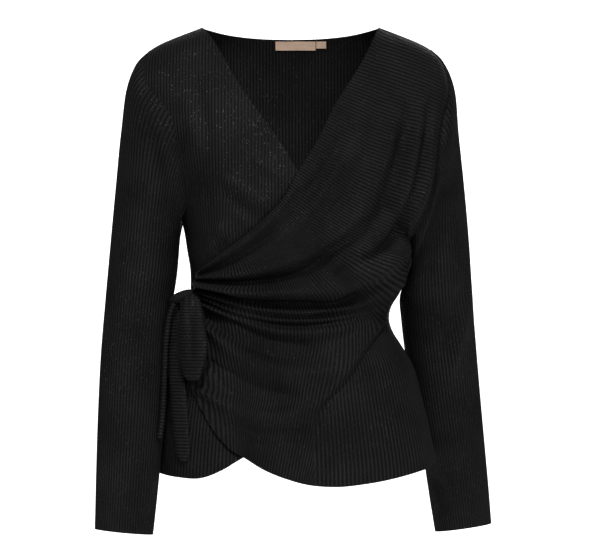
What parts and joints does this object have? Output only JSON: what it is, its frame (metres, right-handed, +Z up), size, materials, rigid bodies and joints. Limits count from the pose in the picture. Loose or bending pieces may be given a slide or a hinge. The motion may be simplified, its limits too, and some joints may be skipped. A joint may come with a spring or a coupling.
{
  "type": "long-sleeved wrap knit top",
  "caption": "Black fine-rib knit top with long sleeves, a deep V neck, a draped front that wraps over and gathers into a tie at one side of the waist, and a rounded wrap hem.",
  "frame": {"origin": "middle of the neck opening at the height of the high points of the shoulders, on the plane of the side seams: where the wearer's shoulders hold the garment", "axes": "+Z up, -Y to the front of the garment, +X towards the wearer's left arm"},
  "size_m": [0.5124, 0.236, 0.6557],
  "materials": {
    "rib_knit": "soft sheen, fine lurex specks",
    "label_satin": "satin"
  },
  "bodies": {
    "root": {"back": "rib_knit", "front_under": "rib_knit", "front_wrap": "rib_knit", "sleeve_right_arm": "rib_knit", "sleeve_left_arm": "rib_knit", "tie_knot": "rib_knit", "tie_loop": "rib_knit", "tie_wide_tail": "rib_knit", "tie_narrow_tail": "rib_knit", "label": "label_satin", "size_tab": "label_satin"}
  },
  "joints": []
}
